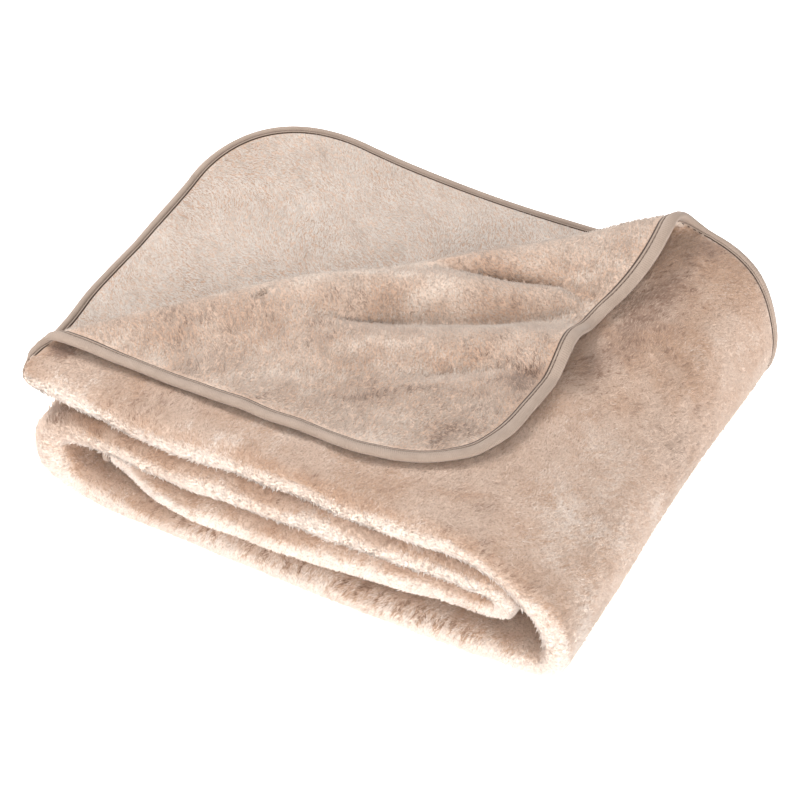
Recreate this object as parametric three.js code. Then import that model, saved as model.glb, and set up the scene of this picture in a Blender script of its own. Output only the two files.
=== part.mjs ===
// A plush throw blanket with a tape sewn round its edge, folded in four across its width,
// rolled flat from one end, and laid down with its top corner turned back.
// Millimetres, +Z up. X runs along the flat roll, Y runs from the folded fronts to the taped
// edges at the back, and the origin lies on the surface under the middle of the bundle.
import * as THREE from "three";

const { clamp, lerp, smoothstep } = THREE.MathUtils;

// The cloth as it was cut, and its thickness with the pile pressed down.
const cloth = { width: 1300, thick: 4.4, cornerRadius: 86 };
// The tape that is sewn over the whole edge.
const tape = { width: 7.5, thick: 4.2, gap: 0.3 };
// From one sheet to the next. Four sheets make one strip, and the strip lies four high.
const pitch = 6.55;
const backY = 157;
// The middle of the finished bundle, which becomes the origin.
const middle = { x: 13.6, y: -3.3 };

// The strip's middle level in each of its four runs, from the surface up.
const bottom = 1.5 * pitch + cloth.thick / 2;
const third = bottom + 4 * pitch;
const second = bottom + 8 * pitch;
const top = bottom + 12 * pitch;

// The roll from the front. Each turn leaves the straight run at fromX, reaches furthest out at
// tipX and tipZ, and meets the next run at toX. Every turn is clockwise, and the last run rises
// a little to its tail.
const roll = { startX: -186, endX: -133, endRise: 1 };
const turns = [
  { name: "right fall", fromX: 118, fromZ: top, tipX: 208, tipZ: 30, toX: 190, toZ: bottom },
  { name: "left rise", fromX: -108, fromZ: bottom, tipX: -172.5, tipZ: 42, toX: -142, toZ: second },
  { name: "inner curl", fromX: 146, fromZ: second, tipX: 168.5, tipZ: 50, toX: 157, toZ: third },
];
// The sheets lie closer together where the cloth is bent hardest: from a to b they come to this
// share of the pitch, and from c to d they part again.
const pressed = {
  share: 0.78,
  stretches: [
    { a: 285, b: 340, c: 455, d: 540 },
    { a: 1050, b: 1140, c: 1215, d: 1300 },
    { a: 1400, b: 1465, c: 1600, d: 1700 },
  ],
};
// How far the front folds stand forward at u along the strip.
const stand = [
  { at: 0, forward: 1 },
  { at: 300, forward: 1 },
  { at: 455, forward: 6 },
  { at: 750, forward: 0 },
  { at: 870, forward: 1 },
  { at: 1155, forward: 1 },
  { at: 1210, forward: -5 },
  { at: 1360, forward: 4 },
  { at: 1520, forward: 4 },
];
// The loose end on top and the tail inside the roll are drawn back from the front, over the
// given reach of their length and the given depth of their front.
const looseEnd = { back: 8, inwards: 1, reach: 110, deep: 60 };
const tail = { back: 18, reach: 52, deep: 80 };

// How the sheets have shifted in the fold: the outer sheet is pushed along at the back, the
// inner ones are drawn in at the loose end, from part of the way round the front fold, and the
// lower back fold is tucked in there.
const shift = {
  outerBack: 30,
  outerGone: [320, 452],
  drawnIn: 14,
  drawnBack: 18,
  drawnFrom: 0.4,
  tuck: 22,
  gone: 170,
};
// The surface is not even: it sinks along the middle of the back, and stands up a little at the
// loose end, more at the back than in front.
const uneven = [
  { x: 10, y: 175, wide: 140, deep: 90, share: -0.1 },
  { x: -215, y: -175, wide: 110, deep: 110, share: 0.03 },
  { x: -195, y: 165, wide: 90, deep: 90, share: 0.1 },
];
// The right fall reaches less far at the back than in front.
const narrowed = { by: 6, fromX: 60, toX: 200, fromY: -150, toY: 120 };

// The slack of the outer sheet: it stands off the fall at the back, by the heights given at u.
const slack = [
  { at: 250, height: 0 },
  { at: 300, height: 9 },
  { at: 340, height: 24 },
  { at: 370, height: 26 },
  { at: 400, height: 13 },
  { at: 425, height: 5 },
  { at: 447, height: 0 },
  { at: 480, height: 0 },
];
const slackFrom = -30;
const slackTo = 150;

// The sheets of one strip from its outer face inwards, in the order in which the cloth runs
// through them, each with its level from the strip's middle.
const sheets = [
  { name: "outer", level: 1.5 * pitch, toFront: true },
  { name: "inner", level: -1.5 * pitch, toFront: false },
  { name: "third", level: -0.5 * pitch, toFront: true },
  { name: "second", level: 0.5 * pitch, toFront: false },
];

// The corner of the outer sheet is turned back over a line that is given on the cloth (from the
// short edge to the long edge) and again on top of the bundle. Past the turn the cloth is drawn
// out towards the front, and skewed along the line.
const turned = {
  onShortEdge: 300,
  onLongEdge: 305,
  left: new THREE.Vector2(-184.5, -136),
  right: new THREE.Vector2(147, 152),
  baseReach: 140,
  baseRise: 70,
  drawnOut: 1.16,
  skew: 0.14,
};
// The turn's radius, the rise of the cloth under it, and how far past it the cloth comes to rest.
const ridge = [
  { at: 0, radius: 3.4, rise: 0, rest: 20 },
  { at: 90, radius: 9, rise: 2, rest: 34 },
  { at: 180, radius: 12.5, rise: 2, rest: 42 },
  { at: 245, radius: 10.5, rise: 3, rest: 30 },
  { at: 335, radius: 11, rise: 8, rest: 38 },
  { at: 400, radius: 9, rise: 10, rest: 60 },
  { at: 450, radius: 7, rise: 8, rest: 80 },
];
// Soft rolls in the turned cloth. Each row is a crest at w along the turned line and q in front
// of it, with its height and half its width.
const rolls = [
  [
    { at: 170, q: 14, height: 0, half: 14 },
    { at: 235, q: 26, height: 8, half: 15 },
    { at: 300, q: 44, height: 8, half: 15 },
    { at: 350, q: 56, height: 0, half: 11 },
  ],
  [
    { at: 130, q: 46, height: 0, half: 18 },
    { at: 200, q: 58, height: 4, half: 26 },
    { at: 265, q: 72, height: 8, half: 30 },
    { at: 335, q: 102, height: 13, half: 36 },
    { at: 400, q: 126, height: 13, half: 36 },
  ],
];

const foldArc = (a, b) => (Math.PI * Math.abs(a.level - b.level)) / 2;
const foldArcs = [0, 1, 2].map((i) => foldArc(sheets[i], sheets[i + 1]));
const sheetDepth = (cloth.width - foldArcs[0] - foldArcs[1] - foldArcs[2]) / sheets.length;
const innerStart = sheetDepth + foldArcs[0];
const thirdStart = innerStart + sheetDepth + foldArcs[1];

// How closely the sheets of the strip lie at u along it, as a share of the pitch.
function closeness(u) {
  let share = 1;
  for (const { a, b, c, d } of pressed.stretches) {
    share -= (1 - pressed.share) * (smoothstep(u, a, b) - smoothstep(u, c, d));
  }
  return share;
}

// Where a point at s across the cloth lies in the strip: q forwards from the back line, and n
// out from the strip's middle, with the sheets at the given share of their pitch.
function acrossStrip(s, share) {
  let rest = s;
  for (const [i, sheet] of sheets.entries()) {
    const next = sheets[i + 1];
    if (rest <= sheetDepth || !next) {
      return { q: sheet.toFront ? rest : sheetDepth - rest, n: share * sheet.level };
    }
    rest -= sheetDepth;
    const arc = foldArcs[i];
    if (rest < arc) {
      const radius = arc / Math.PI;
      const angle = rest / radius;
      const bulge = share * radius * Math.sin(angle);
      const n = share * (sheet.level + ((next.level - sheet.level) * (1 - Math.cos(angle))) / 2);
      return { q: sheet.toFront ? sheetDepth + bulge : -bulge, n };
    }
    rest -= arc;
  }
}

// The middle line of the strip, seen from the front, from the loose end on top to the tail.
function makeRoute() {
  const pieces = [];
  let startX = roll.startX;
  for (const turn of turns) {
    pieces.push(straight(startX, turn.fromZ, turn.fromX, turn.fromZ));
    const side = Math.sign(turn.tipX - turn.fromX);
    const outside = side > 0 ? 0 : Math.PI;
    const before = outside + Math.PI / 2;
    pieces.push(quarter(turn.fromX, turn.fromZ, turn, before, outside));
    pieces.push(quarter(turn.toX, turn.toZ, turn, outside, before - Math.PI));
    startX = turn.toX;
  }
  pieces.push(straight(startX, third, roll.endX, third + roll.endRise));
  return pieces;
}

function straight(fromX, fromZ, toX, toZ) {
  return new THREE.LineCurve(new THREE.Vector2(fromX, fromZ), new THREE.Vector2(toX, toZ));
}

function quarter(runX, runZ, turn, from, to) {
  const wide = Math.abs(turn.tipX - runX);
  const high = Math.abs(turn.tipZ - runZ);
  return new THREE.EllipseCurve(runX, turn.tipZ, wide, high, from, to, true);
}

const route = makeRoute();
const clothLength = route.reduce((sum, piece) => sum + piece.getLength(), 0);

// A point of the strip's middle line at u along it, and the direction out of the roll there.
function alongRoute(u) {
  const inside = clamp(u, 0, clothLength);
  let rest = inside;
  let i = 0;
  while (i < route.length - 1 && rest > route[i].getLength()) {
    rest -= route[i].getLength();
    i += 1;
  }
  const t = clamp(rest / route[i].getLength(), 0, 1);
  const ahead = route[i].getTangentAt(t);
  const point = route[i].getPointAt(t).addScaledVector(ahead, u - inside);
  return { point, out: new THREE.Vector2(-ahead.y, ahead.x) };
}

// One column of a table, read at a place between its rows.
function read(table, at, column) {
  let i = 1;
  while (i < table.length - 1 && table[i].at < at) i += 1;
  const slope = (k) => {
    const low = table[Math.max(0, k - 1)];
    const high = table[Math.min(table.length - 1, k + 1)];
    return (high[column] - low[column]) / (high.at - low.at);
  };
  const a = table[i - 1];
  const b = table[i];
  const gap = b.at - a.at;
  const t = clamp((at - a.at) / gap, 0, 1);
  const eased = t * t * (3 - 2 * t);
  const bend = gap * t * (1 - t) * ((1 - t) * slope(i - 1) - t * slope(i));
  return lerp(a[column], b[column], eased) + bend;
}

// Unit vectors along the turned line and towards the corner, on the cloth and on the bundle.
const clothLine = new THREE.Vector2(turned.onLongEdge, turned.onShortEdge);
const bundleLine = turned.right.clone().sub(turned.left);
const pull = bundleLine.length() / clothLine.length();
const clothAlong = clothLine.clone().normalize();
const along = bundleLine.clone().normalize();
const away = new THREE.Vector2(-along.y, along.x);

// The lift of the outer sheet beside the turn, at w along it and q across it.
function liftBesideTurn(w, q) {
  return read(ridge, w, "rise") * smoothstep(q, -turned.baseRise, 0);
}

function liftOfRolls(w, q) {
  let lift = 0;
  for (const crest of rolls) {
    const off = (q - read(crest, w, "q")) / read(crest, w, "half");
    if (Math.abs(off) < 1) lift += Math.max(0, read(crest, w, "height")) * (1 - off * off) ** 2;
  }
  return lift;
}

// Where a point of the outer sheet's first stretch lies in plan, and how far it is lifted.
function turnCorner(u, s, plan) {
  const w = (u * clothAlong.x - (s - turned.onShortEdge) * clothAlong.y) * pull;
  const d = -(u * clothAlong.y + (s - turned.onShortEdge) * clothAlong.x);
  const radius = read(ridge, w, "radius");
  const angle = clamp(d / radius, 0, Math.PI);
  const past = Math.max(0, d - Math.PI * radius);
  const q = d < 0 ? d : radius * Math.sin(angle) - turned.drawnOut * past;
  const place = turned.left.clone().addScaledVector(along, w + turned.skew * past);
  place.addScaledVector(away, q);
  if (d < 0) place.lerp(plan, 1 - smoothstep(d, -turned.baseReach, 0));
  const offset = place.clone().sub(turned.left);
  const placeW = offset.dot(along);
  let lift = liftBesideTurn(placeW, offset.dot(away)) + radius * (1 - Math.cos(angle));
  if (past > 0) {
    const settled = smoothstep(past, 0, read(ridge, w, "rest"));
    lift += (pitch - 2 * radius) * settled + liftOfRolls(placeW, -q);
  }
  return { place, lift };
}

// The middle of the cloth at u along and s across it, where it lies in the bundle.
function lay(u, s) {
  const { q, n } = acrossStrip(s, closeness(u));
  const nearEnd = 1 - smoothstep(u, 0, shift.gone);
  const nearBack = 1 - smoothstep(q, 0, sheetDepth);
  const drawnFrom = lerp(sheetDepth, innerStart, shift.drawnFrom);
  const below = smoothstep(s, drawnFrom, innerStart) - smoothstep(s, thirdStart, cloth.width);
  const tucked = n < 0 ? shift.tuck * nearEnd * (1 - smoothstep(q, 0, sheetDepth / 3)) : 0;
  const frontFold = sheetDepth + sheets[0].level;
  const atEndFront = smoothstep(q, sheetDepth - looseEnd.deep, frontFold);
  const atEnd = (1 - smoothstep(u, 0, looseEnd.reach)) * atEndFront;
  const atTailFront = smoothstep(q, sheetDepth - tail.deep, sheetDepth);
  const atTail = smoothstep(u, clothLength - tail.reach, clothLength) * atTailFront;
  const drawn = (shift.drawnIn + shift.drawnBack * nearBack) * below * nearEnd;
  const inwards = drawn + looseEnd.inwards * atEnd;
  const forward = read(stand, u, "forward") * smoothstep(q, 0, sheetDepth);
  const y = backY - q - forward - tucked + looseEnd.back * atEnd + tail.back * atTail;
  const [goneFrom, goneTo] = shift.outerGone;
  const isTop = s < sheetDepth && u < goneTo;
  if (!isTop) {
    const { point, out } = alongRoute(u + inwards);
    return settle(point.x + out.x * n, y, point.y + out.y * n);
  }
  const pushed = shift.outerBack * (1 - s / sheetDepth) * (1 - smoothstep(u, goneFrom, goneTo));
  const plan = new THREE.Vector2(roll.startX + u + pushed + inwards, y);
  const { place, lift } = turnCorner(u, s, plan);
  const placeU = place.x - roll.startX;
  const { point, out } = alongRoute(placeU);
  const atBack = smoothstep(place.y, slackFrom, slackTo);
  const off = Math.max(0, read(slack, placeU, "height")) * atBack;
  const rise = sheets[0].level * closeness(placeU) + lift + off;
  return settle(point.x + out.x * rise, place.y, point.y + out.y * rise);
}

// The same point once the bundle has settled to its uneven height and its narrower back.
function settle(x, y, z) {
  let share = 1;
  for (const spot of uneven) {
    const off = ((x - spot.x) / spot.wide) ** 2 + ((y - spot.y) / spot.deep) ** 2;
    share += spot.share * Math.exp(-off);
  }
  const { by, fromX, toX, fromY, toY } = narrowed;
  const inwards = by * smoothstep(x, fromX, toX) * smoothstep(y, fromY, toY);
  const lowest = cloth.thick / 2;
  return new THREE.Vector3(x - inwards, y, lowest + (z - lowest) * share);
}

// The way out of the cloth's outer face at a point.
function facing(u, s) {
  const step = 0.5;
  const du = lay(u + step, s).sub(lay(u - step, s));
  const ds = lay(u, s + step).sub(lay(u, s - step));
  return ds.cross(du).normalize();
}

// The cloth from edge to edge at u along it, with its corners rounded.
function span(u) {
  const fromEnd = Math.min(u, clothLength - u);
  const inset = cloth.cornerRadius - clamp(fromEnd, 0, cloth.cornerRadius);
  const cut = cloth.cornerRadius - Math.sqrt(cloth.cornerRadius ** 2 - inset ** 2);
  return [cut, cloth.width - cut];
}

// Evenly spaced values from one end up to, but not at, the other.
function spaced(from, to, count) {
  return Array.from({ length: count }, (_, i) => from + ((to - from) * i) / count);
}

// The places along the cloth where a row of points goes across it: close together under the
// turned corner, round every turn of the roll and at the rounded corners, and few elsewhere.
const steps = { turned: 17, straight: 60, perTurn: 6, corner: 6 };

function rowPlaces() {
  const radius = cloth.cornerRadius;
  const quarterTurn = Math.PI / 2;
  const insets = spaced(0, quarterTurn, steps.corner).map((angle) => radius * (1 - Math.cos(angle)));
  const places = [...insets];
  let start = 0;
  for (const [i, piece] of route.entries()) {
    const end = start + piece.getLength();
    const isStraight = piece.isLineCurve;
    const from = Math.max(start, radius);
    const to = Math.min(end, clothLength - radius);
    const step = i === 0 ? steps.turned : steps.straight;
    const count = isStraight ? Math.round((to - from) / step) : steps.perTurn;
    places.push(...spaced(from, to, count));
    start = end;
  }
  places.push(clothLength - radius, ...insets.map((inset) => clothLength - inset).reverse());
  return places;
}

// The points of one row, in stretches that meet end to end. The first three lie on the outer
// sheet: the part that is turned over, the turn, and what stays underneath.
const across = {
  turnedOver: 19,
  turn: 6,
  finePart: 21,
  sheet: 4,
  lowSheet: 6,
  frontFold: 5,
  smallFold: 3,
};

function rowStretches(u) {
  const [lowest, highest] = span(u);
  const foldAt = turned.onShortEdge - (u * clothAlong.y) / clothAlong.x;
  const w = u / clothAlong.x;
  const turnDepth = (Math.PI * read(ridge, w, "radius")) / clothAlong.x;
  const overEnd = Math.max(lowest, foldAt - turnDepth);
  const turnEnd = Math.max(lowest, foldAt);
  const step = u < turned.onLongEdge ? across.finePart : 2 * across.finePart;
  const stretches = [
    stretch(lowest, overEnd, Math.ceil((overEnd - lowest) / across.turnedOver)),
    stretch(overEnd, turnEnd, across.turn),
    stretch(turnEnd, sheetDepth, Math.ceil((sheetDepth - turnEnd) / step)),
  ];
  let from = sheetDepth;
  for (const [i, sheet] of sheets.entries()) {
    const next = sheets[i + 1];
    if (i > 0) {
      const isLast = !next;
      const to = isLast ? highest : from + sheetDepth;
      stretches.push(stretch(from, to, isLast ? across.lowSheet : across.sheet));
      from = to;
    }
    if (next) {
      const to = from + foldArcs[i];
      stretches.push(stretch(from, to, i === 0 ? across.frontFold : across.smallFold));
      from = to;
    }
  }
  return stretches;
}

function stretch(from, to, count) {
  return to > from ? [...spaced(from, to, count), to] : [to];
}

// One closed body from rows of points: its outer face, its inner face and the wall round the edge.
function clothGeometry() {
  const rows = rowPlaces().map((u) => ({ u, stretches: rowStretches(u) }));
  const positions = [];
  for (const row of rows) {
    row.places = row.stretches.flatMap((list, i) => (i === 0 ? list : list.slice(1)));
    row.first = positions.length / 6;
    for (const s of row.places) {
      const middle = lay(row.u, s);
      const half = facing(row.u, s).multiplyScalar(cloth.thick / 2);
      positions.push(...middle.clone().add(half), ...middle.clone().sub(half));
    }
  }
  const triangles = [];
  const wall = (a, b) => triangles.push(2 * a, 2 * a + 1, 2 * b, 2 * b, 2 * a + 1, 2 * b + 1);
  const lastOf = (row) => row.first + row.places.length - 1;
  const both = (a, b, c) => triangles.push(2 * a, 2 * b, 2 * c, 2 * a + 1, 2 * c + 1, 2 * b + 1);
  for (let r = 0; r < rows.length - 1; r += 1) {
    zip(rows[r], rows[r + 1], both);
    wall(rows[r + 1].first, rows[r].first);
    wall(lastOf(rows[r]), lastOf(rows[r + 1]));
  }
  const head = rows[0];
  const tail = rows[rows.length - 1];
  for (let i = 0; i < head.places.length - 1; i += 1) wall(head.first + i, head.first + i + 1);
  for (let i = 0; i < tail.places.length - 1; i += 1) wall(tail.first + i + 1, tail.first + i);
  return toGeometry(positions, triangles);
}

// Joins two neighbouring rows, stretch by stretch, whatever the number of points in each.
function zip(rowA, rowB, add) {
  let a = rowA.first;
  let b = rowB.first;
  for (const [k, listA] of rowA.stretches.entries()) {
    const countA = listA.length - 1;
    const countB = rowB.stretches[k].length - 1;
    let i = 0;
    let j = 0;
    while (i < countA || j < countB) {
      const takeA = j === countB || (i < countA && (i + 1) / countA <= (j + 1) / countB);
      if (takeA) {
        add(a, a + 1, b);
        a += 1;
        i += 1;
      } else {
        add(a, b + 1, b);
        b += 1;
        j += 1;
      }
    }
  }
}

function toGeometry(positions, triangles) {
  const geometry = new THREE.BufferGeometry();
  geometry.setAttribute("position", new THREE.Float32BufferAttribute(positions, 3));
  geometry.setIndex(triangles);
  geometry.computeVertexNormals();
  return geometry;
}

// The tape's section: how far out from the cloth's edge, and how far to its outer face.
function tapeSection() {
  const out = tape.gap + tape.width;
  const half = tape.thick / 2;
  const shoulder = tape.gap + 0.65 * tape.width;
  return [
    { reach: tape.gap, rise: half },
    { reach: shoulder, rise: half },
    { reach: out, rise: 0 },
    { reach: shoulder, rise: -half },
    { reach: tape.gap, rise: -half },
  ];
}

// The places round the cloth's edge, starting on the short edge that lies on top.
function edgePlaces() {
  const rows = rowPlaces().map((u) => {
    const list = rowStretches(u).flatMap((part, i) => (i === 0 ? part : part.slice(1)));
    return list.map((s) => ({ u, s }));
  });
  const inner = rows.slice(1, -1);
  return [
    ...rows[0],
    ...inner.map((row) => row[row.length - 1]),
    ...rows[rows.length - 1].reverse(),
    ...inner.map((row) => row[0]).reverse(),
  ];
}

function tapeGeometry() {
  const places = edgePlaces();
  const section = tapeSection();
  const radius = cloth.cornerRadius;
  const positions = [];
  for (const { u, s } of places) {
    const outU = (u - clamp(u, radius, clothLength - radius)) / radius;
    const outS = (s - clamp(s, radius, cloth.width - radius)) / radius;
    const face = facing(u, s);
    for (const { reach, rise } of section) {
      positions.push(...lay(u + outU * reach, s + outS * reach).addScaledVector(face, rise));
    }
  }
  const triangles = [];
  for (let i = 0; i < places.length; i += 1) {
    const next = (i + 1) % places.length;
    for (let k = 0; k < section.length; k += 1) {
      const up = (k + 1) % section.length;
      const a = i * section.length;
      const b = next * section.length;
      triangles.push(a + k, a + up, b + up, a + k, b + up, b + k);
    }
  }
  return toGeometry(positions, triangles);
}

const fleece = new THREE.MeshStandardMaterial({ color: 0xc9ad98, roughness: 0.95, metalness: 0 });
const knit = new THREE.MeshStandardMaterial({ color: 0x8f8076, roughness: 0.8, metalness: 0 });

const throwBlanket = new THREE.Group();
for (const [name, geometry, material] of [
  ["blanket", clothGeometry(), fleece],
  ["binding", tapeGeometry(), knit],
]) {
  const mesh = new THREE.Mesh(geometry, material);
  mesh.name = name;
  mesh.position.set(-middle.x, -middle.y, 0);
  throwBlanket.add(mesh);
}

export default throwBlanket;
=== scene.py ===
import math

import bpy
import numpy as np
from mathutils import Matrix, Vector
from mathutils.bvhtree import BVHTree


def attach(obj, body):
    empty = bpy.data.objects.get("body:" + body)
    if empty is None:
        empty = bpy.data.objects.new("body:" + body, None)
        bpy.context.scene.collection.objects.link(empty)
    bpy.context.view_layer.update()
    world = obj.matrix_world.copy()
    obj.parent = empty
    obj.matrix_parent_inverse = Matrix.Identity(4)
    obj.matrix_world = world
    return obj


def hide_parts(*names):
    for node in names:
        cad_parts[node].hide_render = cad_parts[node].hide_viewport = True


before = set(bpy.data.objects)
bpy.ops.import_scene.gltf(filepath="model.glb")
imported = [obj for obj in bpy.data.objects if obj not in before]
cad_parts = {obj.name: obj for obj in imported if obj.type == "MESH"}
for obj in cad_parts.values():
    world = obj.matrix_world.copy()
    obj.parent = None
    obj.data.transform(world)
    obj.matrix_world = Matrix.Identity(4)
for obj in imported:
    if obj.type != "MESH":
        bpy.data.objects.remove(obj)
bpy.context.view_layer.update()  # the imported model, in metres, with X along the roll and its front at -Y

mm = 0.001
camera = {
    "azimuth": 27.7, "elevation": 43.4, "lens": 166.5, "sensor": 36, "distance": 2.5037,
    "aim": (0.00739, -0.01881, 0.05172),
}


def wayTo(azimuth, elevation):  # from the object towards someone who looks at it from there
    a, e = math.radians(azimuth), math.radians(elevation)
    return math.sin(a) * math.cos(e), -math.cos(a) * math.cos(e), math.sin(e)


def cameraPlace():
    back = Vector(wayTo(camera["azimuth"], camera["elevation"]))
    return Vector(camera["aim"]) + back * camera["distance"], -back


# The cloth as it was cut and laid, in millimetres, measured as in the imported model.
cloth = {"width": 1300, "cornerRadius": 86, "pitch": 6.55, "core": 3.0, "aboveFloor": 0.15}
pitch = cloth["pitch"]
bundle = {"backY": 157, "middle": (13.6, -3.3), "lowest": 2.2}
# The heights of the runs of the roll: the lowest, the inner two, and the top one.
bottom = 1.5 * pitch + bundle["lowest"]
third, second, top = bottom + 4 * pitch, bottom + 8 * pitch, bottom + 12 * pitch
sheetLevels = (1.5 * pitch, -1.5 * pitch, -0.5 * pitch, 0.5 * pitch)  # outer, inner, third, second

# The roll seen from the front: each turn leaves a run, reaches furthest out, and meets the next.
roll = {"startX": -186, "endX": -133, "endRise": 1, "runPoints": 200, "turnPoints": 120}
turns = [
    {"fromX": 118, "fromZ": top, "tipX": 208, "tipZ": 30, "toX": 190, "toZ": bottom},
    {"fromX": -108, "fromZ": bottom, "tipX": -172.5, "tipZ": 42, "toX": -142, "toZ": second},
    {"fromX": 146, "fromZ": second, "tipX": 168.5, "tipZ": 50, "toX": 157, "toZ": third},
]
# Where the sheets lie closer together along the strip, and how close, as a share of the pitch.
pressed = {
    "share": 0.78,
    "stretches": ((285, 340, 455, 540), (1050, 1140, 1215, 1300), (1400, 1465, 1600, 1700)),
}
# How far the front folds stand forward, along the strip.
stand = {
    "at": (0, 300, 455, 750, 870, 1155, 1210, 1360, 1520),
    "forward": (1, 1, 6, 0, 1, 1, -5, 4, 4),
}
# The front corners of the loose end and of the inner end, which are drawn back a little.
looseEnd = {"back": 8, "inwards": 1, "reach": 110, "deep": 60}
tail = {"back": 18, "reach": 52, "deep": 80}
# How the sheets have shifted: the outer one is pushed along at the back, the inner ones are drawn
# in at the loose end, and the lower back fold is tucked in there.
shift = {
    "outerBack": 30, "outerGone": (320, 452), "drawnIn": 14, "drawnBack": 18, "drawnFrom": 0.4,
    "tuck": 22, "gone": 170, "drawnGone": 1090,
}

# The soft unevenness of the whole bundle.
uneven = [  # x, y, width, depth and share of each soft rise or hollow
    (10, 175, 140, 90, -0.10),
    (-215, -175, 110, 110, 0.03),
    (-195, 165, 90, 90, 0.10),
]
narrowed = {"by": 6, "x": (60, 200), "y": (-150, 120)}  # the right fall, towards its back
# The top sheets at the loose end are pushed out by this much at y, and raised at the back.
bowed = {
    "at": (-150, -128, -100, -68, -40, -10), "by": (4.5, 3.5, 3, 5.5, 5, 3.3),
    "raised": 3.5, "raisedFrom": (60, 150), "x": (90, 180), "z": (55, 85),
}
fuller = {"by": 6, "x": (100, 165), "z": (2, 14, 22, 40)}  # the lower left turn bulges out
ripples = {  # height, size and seed of each, and where they fade in
    "top": (1.3, 62, 11), "topFine": (0.9, 27, 12), "offFloor": (2, 26), "nearFront": (60, 150),
    "front": (1.5, 31, 13), "frontFine": (0.8, 14, 14), "atFront": (110, 165),
}
# The outer sheet stands off the right fall at the back.
slack = {
    "at": (250, 300, 340, 370, 400, 425, 447, 480), "height": (0, 9, 27, 30, 16, 7, 1, 0),
    "y": (-30, 150),
}

# The corner that is turned back, over a line given on the cloth and again on top of the bundle.
turned = {
    "onShortEdge": 300, "onLongEdge": 305, "left": (-184.5, -136), "right": (147, 152),
    "baseReach": 140, "baseRise": 70, "drawnOut": 1.16, "skew": 0.14, "gap": 0.4, "easing": 2.0,
    "broad": (1.6, 38, 5), "fine": (0.7, 17, 6), "unevenFrom": (6, 40),
}
# The turn's radius, the rise under it, and how far past it the cloth comes to rest.
ridge = {
    "at": (0, 90, 180, 245, 335, 400, 450),
    "radius": (3.4, 9, 12.5, 10.5, 11, 9.3, 14),
    "rise": (0, 2, 2, 3, 9, 13.5, 7),
    "rest": (20, 34, 42, 30, 38, 60, 80),
}
# The edge of the turned corner is drawn along X by this much at y.
drawnEdge = {
    "at": (-130, -110, -80, -50, -25, 0, 35, 60, 78, 100, 130, 150, 165),
    "by": (0, -5, -9, -8, -4, -1, 0, 4, 9, 13, 15, 17, 17),
    "x": (20, 115, 125, 190),
}
# Its soft rolls and creases: q in front of the turned line, height or depth, and half the width.
softRolls = [
    {"at": (215, 235, 268, 293, 319, 344, 360), "q": (8, 12, 21, 30, 37, 41, 46),
     "height": (0, 5, 9, 10, 9, 7, 0), "half": (14, 15, 17, 19, 18, 14, 10)},
    {"at": (130, 200, 265, 335, 400), "q": (46, 52, 68, 88, 122),
     "height": (0, 5, 9, 12, 12), "half": (18, 25, 29, 34, 36)},
]
softCreases = [
    {"at": (240, 268, 293, 319, 344, 356, 366), "q": (-14, -1, 9, 19, 28, 42, 48),
     "depth": (0, 6, 9, 10.5, 8.5, 3, 0), "half": 10},
    {"at": (110, 135, 186, 224, 275, 310, 357), "q": (-12, -6, 22, 30, 46, 55, 53),
     "depth": (0, 2.5, 5, 8, 9, 3.5, 0), "half": 12},
    {"at": (215, 231, 265, 292, 312, 325), "q": (82, 85, 91, 94, 108, 112),
     "depth": (0, 4, 6, 4.5, 1.2, 0), "half": 15},
    {"at": (90, 106, 121, 155, 178, 190), "q": (84, 78, 68, 65, 96, 118),
     "depth": (0, 0.3, 1.6, 2.4, 1.6, 0), "half": 16},
]


def smooth(x, low, high):
    t = np.clip((x - low) / (high - low), 0, 1)
    return t * t * (3 - 2 * t)


def between(x, span):  # rises from 0 to 1 over the first two values, and falls over the last two
    return smooth(x, span[0], span[1]) * (1 - smooth(x, span[2], span[3]))


def softNoise(x, y, size, seed):  # smooth values from -1 to 1 that change over the given size
    cells = 64
    lattice = np.random.default_rng(seed).uniform(-1, 1, (cells, cells))
    cellX, cellY = np.floor(x / size).astype(int), np.floor(y / size).astype(int)
    inX, inY = smooth(x / size - cellX, 0, 1), smooth(y / size - cellY, 0, 1)
    x0, x1, y0, y1 = cellX % cells, (cellX + 1) % cells, cellY % cells, (cellY + 1) % cells
    low = lattice[x0, y0] * (1 - inX) + lattice[x1, y0] * inX
    high = lattice[x0, y1] * (1 - inX) + lattice[x1, y1] * inX
    return low * (1 - inY) + high * inY


def ripple(plan, x, y):  # soft noise of a given height, size and seed
    height, size, seed = plan
    return height * softNoise(x, y, size, seed)


def read(table, at, column):  # one column of a table, on a smooth curve through its rows
    xs, ys = np.array(table["at"], float), np.array(table[column], float)
    last = len(xs) - 1
    before = np.maximum(np.arange(last + 1) - 1, 0)
    after = np.minimum(np.arange(last + 1) + 1, last)
    slopes = (ys[after] - ys[before]) / (xs[after] - xs[before])
    i = np.clip(np.searchsorted(xs, at), 1, last)
    gap = xs[i] - xs[i - 1]
    t = np.clip((at - xs[i - 1]) / gap, 0, 1)
    bend = gap * t * (1 - t) * ((1 - t) * slopes[i - 1] - t * slopes[i])
    return ys[i - 1] + (ys[i] - ys[i - 1]) * smooth(t, 0, 1) + bend


foldArcs = [math.pi * abs(a - b) / 2 for a, b in zip(sheetLevels, sheetLevels[1:])]
sheetDepth = (cloth["width"] - sum(foldArcs)) / 4


def closeness(u):  # how closely the sheets lie at u along the strip, as a share of the pitch
    press = sum(between(u, stretch) for stretch in pressed["stretches"])
    return 1 - (1 - pressed["share"]) * press


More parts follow.
